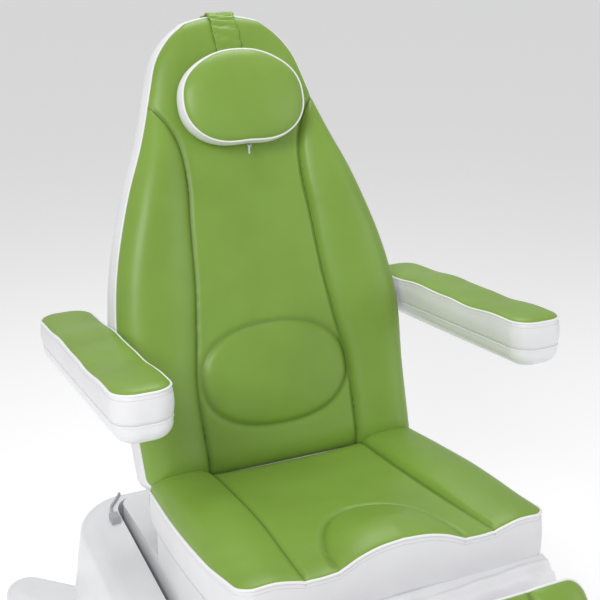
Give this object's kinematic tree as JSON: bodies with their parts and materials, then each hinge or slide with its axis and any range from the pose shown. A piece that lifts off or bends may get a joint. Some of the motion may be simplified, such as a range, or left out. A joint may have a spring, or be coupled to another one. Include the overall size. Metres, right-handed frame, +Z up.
{
  "type": "facial treatment bed",
  "caption": "Padded treatment bed with powered backrest, leg rest and scissor lift on a covered base, with padded armrests and a strapped head pillow.",
  "frame": {"origin": "on the floor, under the centre of the bed's box with the lift down, the backrest up and the leg rest down", "axes": "+Z up; the sitter faces -Y, so the leg rest is at -Y and the backrest leans towards +Y; +X is the sitter's left"},
  "size_m": [1.0359, 1.3666, 1.3878],
  "materials": {
    "green_leather": "smooth green synthetic leather",
    "white_leather": "smooth white synthetic leather",
    "white_shell": "white vacuum-formed plastic",
    "grey_plastic": "light grey moulded plastic",
    "black_plastic": "black moulded plastic",
    "white_steel": "light grey powder coat",
    "dark_steel": "dark powder coat",
    "bright_steel": "turned steel",
    "plywood": "plywood",
    "foot_rubber": "black rubber",
    "zip_metal": "nickel plated",
    "lead_jacket": "light grey cable jacket"
  },
  "bodies": {
    "base": {"base_frame": "white_steel", "base_hood": "white_shell", "levelling_feet": "foot_rubber", "lower_glide_rails": "dark_steel", "scissor_lower_pivots": "white_steel", "lift_drive_bracket": "white_steel", "control_box": "grey_plastic", "power_inlet": "black_plastic", "handset_cradle": "grey_plastic", "handset_shell": "grey_plastic", "handset_lead": "lead_jacket", "lead_gland": "black_plastic"},
    "outer_arms": {"outer_arms": "white_steel"},
    "inner_arms": {"inner_arms": "white_steel"},
    "lower_glides": {"lower_glide_shoes": "black_plastic"},
    "upper_glides": {"upper_glide_shoes": "black_plastic"},
    "platform": {"platform_frame": "white_steel", "upper_glide_rails": "dark_steel", "scissor_upper_pivots": "white_steel", "seat_posts": "white_steel", "seat_frame": "white_steel", "seat_board": "plywood", "seat_cushion": "green_leather", "hinge_lugs": "white_steel", "seat_drive_brackets": "white_steel", "upper_cover": "white_shell", "seat_apron": "white_leather"},
    "back": {"back_cushion": "green_leather", "back_board": "plywood", "back_frame": "white_steel", "back_hinge_arms": "white_steel", "back_rear_cover": "white_shell", "arm_pivot_shaft": "bright_steel", "head_strap": "green_leather"},
    "lift_motor": {"lift_motor": "black_plastic"},
    "lift_rod": {"lift_rod": "bright_steel"},
    "back_motor": {"back_motor": "black_plastic"},
    "back_rod": {"back_rod": "bright_steel"},
    "leg_motor": {"leg_motor": "black_plastic"},
    "leg_rod": {"leg_rod": "bright_steel"},
    "leg": {"leg_cushion": "green_leather", "leg_board": "plywood", "leg_frame": "white_steel", "leg_hinge_arms": "white_steel"},
    "arm_left": {"arm_pad_left": "green_leather", "arm_shell_left": "white_shell", "arm_bar_left": "dark_steel"},
    "arm_right": {"arm_pad_right": "green_leather", "arm_shell_right": "white_shell", "arm_bar_right": "dark_steel"},
    "pillow": {"head_pillow": "green_leather", "zip_slider": "zip_metal"},
    "zip_pull": {"zip_pull": "zip_metal"},
    "button_back_up": {"button_back_up": "grey_plastic"},
    "button_back_down": {"button_back_down": "grey_plastic"},
    "button_leg_up": {"button_leg_up": "grey_plastic"},
    "button_leg_down": {"button_leg_down": "grey_plastic"},
    "button_lift_up": {"button_lift_up": "grey_plastic"},
    "button_lift_down": {"button_lift_down": "grey_plastic"}
  },
  "joints": [
    {"name": "lift_scissor", "type": "hinge", "parent": "base", "child": "outer_arms", "pos_m": [0, 0.415, 0.102], "axis": [-1, 0, 0], "range_deg": [0, 28]},
    {"name": "scissor_cross", "type": "hinge", "parent": "outer_arms", "child": "inner_arms", "pos_m": [0, 0.12662, 0.18469], "axis": [-1, 0, 0], "range_deg": [-56, 0]},
    {"name": "platform_level", "type": "hinge", "parent": "inner_arms", "child": "platform", "pos_m": [0, 0.415, 0.26738], "axis": [-1, 0, 0], "range_deg": [0, 28]},
    {"name": "upper_glide_turn", "type": "hinge", "parent": "outer_arms", "child": "upper_glides", "pos_m": [0, -0.16176, 0.26738], "axis": [-1, 0, 0], "range_deg": [-28, 0]},
    {"name": "lower_glide_turn", "type": "hinge", "parent": "inner_arms", "child": "lower_glides", "pos_m": [0, -0.16176, 0.102], "axis": [-1, 0, 0], "range_deg": [0, 28]},
    {"name": "lift_drive_swing", "type": "hinge", "parent": "base", "child": "lift_motor", "pos_m": [0, 0, 0.075], "axis": [-1, 0, 0], "range_deg": [-2, 0]},
    {"name": "lift_drive_stroke", "type": "slide", "parent": "lift_motor", "child": "lift_rod", "axis": [0, 0.8959, 0.4443], "range_m": [0, 0.082]},
    {"name": "back_recline", "type": "hinge", "parent": "platform", "child": "back", "pos_m": [0, 0.27478, 0.50055], "axis": [-1, 0, 0], "range_deg": [0, 66]},
    {"name": "back_drive_swing", "type": "hinge", "parent": "platform", "child": "back_motor", "pos_m": [0.07, 0.05, 0.38], "axis": [-1, 0, 0], "range_deg": [0, 8]},
    {"name": "back_drive_stroke", "type": "slide", "parent": "back_motor", "child": "back_rod", "axis": [0, 0.9489, 0.3155], "range_m": [-0.069, 0]},
    {"name": "leg_raise", "type": "hinge", "parent": "platform", "child": "leg", "pos_m": [0, -0.203, 0.4473], "axis": [-1, 0, 0], "range_deg": [0, 46]},
    {"name": "leg_drive_swing", "type": "hinge", "parent": "platform", "child": "leg_motor", "pos_m": [-0.07, 0.05, 0.4], "axis": [-1, 0, 0], "range_deg": [0, 3]},
    {"name": "leg_drive_stroke", "type": "slide", "parent": "leg_motor", "child": "leg_rod", "axis": [0, -0.9955, -0.0946], "range_m": [0, 0.055]},
    {"name": "arm_left_level", "type": "hinge", "parent": "back", "child": "arm_left", "pos_m": [0, 0.43727, 0.76279], "axis": [-1, 0, 0], "range_deg": [-66, 0]},
    {"name": "arm_right_level", "type": "hinge", "parent": "back", "child": "arm_right", "pos_m": [0, 0.43727, 0.76279], "axis": [-1, 0, 0], "range_deg": [-66, 0]},
    {"name": "pillow_slide", "type": "slide", "parent": "back", "child": "pillow", "axis": [0, 0.342, 0.9397], "range_m": [-0.03, 0.03]},
    {"name": "zip_pull_swing", "type": "hinge", "parent": "pillow", "child": "zip_pull", "pos_m": [0, 0.41693, 1.14138], "axis": [-1, 0, 0], "range_deg": [-40, 40]},
    {"name": "press_back_up", "type": "slide", "parent": "base", "child": "button_back_up", "axis": [0, -0.9918, -0.1275], "range_m": [0, 0.001], "stiffness_N_per_m": 1500},
    {"name": "press_back_down", "type": "slide", "parent": "base", "child": "button_back_down", "axis": [0, -0.9918, -0.1275], "range_m": [0, 0.001], "stiffness_N_per_m": 1500},
    {"name": "press_leg_up", "type": "slide", "parent": "base", "child": "button_leg_up", "axis": [0, -0.9918, -0.1275], "range_m": [0, 0.001], "stiffness_N_per_m": 1500},
    {"name": "press_leg_down", "type": "slide", "parent": "base", "child": "button_leg_down", "axis": [0, -0.9918, -0.1275], "range_m": [0, 0.001], "stiffness_N_per_m": 1500},
    {"name": "press_lift_up", "type": "slide", "parent": "base", "child": "button_lift_up", "axis": [0, -0.9918, -0.1275], "range_m": [0, 0.001], "stiffness_N_per_m": 1500},
    {"name": "press_lift_down", "type": "slide", "parent": "base", "child": "button_lift_down", "axis": [0, -0.9918, -0.1275], "range_m": [0, 0.001], "stiffness_N_per_m": 1500}
  ],
  "couplings": [
    {"joint": "scissor_cross", "follows": "lift_scissor", "ratio": -2},
    {"joint": "platform_level", "follows": "lift_scissor", "ratio": 1},
    {"joint": "upper_glide_turn", "follows": "lift_scissor", "ratio": -1},
    {"joint": "lower_glide_turn", "follows": "lift_scissor", "ratio": 1},
    {"joint": "lift_drive_swing", "follows": "lift_scissor", "ratio": -0.0597},
    {"joint": "lift_drive_stroke", "follows": "lift_scissor", "m_per_rad": 0.16707},
    {"joint": "back_drive_swing", "follows": "back_recline", "ratio": 0.1098},
    {"joint": "back_drive_stroke", "follows": "back_recline", "m_per_rad": -0.05885},
    {"joint": "leg_drive_swing", "follows": "leg_raise", "ratio": 0.0555},
    {"joint": "leg_drive_stroke", "follows": "leg_raise", "m_per_rad": 0.06803},
    {"joint": "arm_left_level", "follows": "back_recline", "ratio": -1},
    {"joint": "arm_right_level", "follows": "back_recline", "ratio": -1}
  ]
}
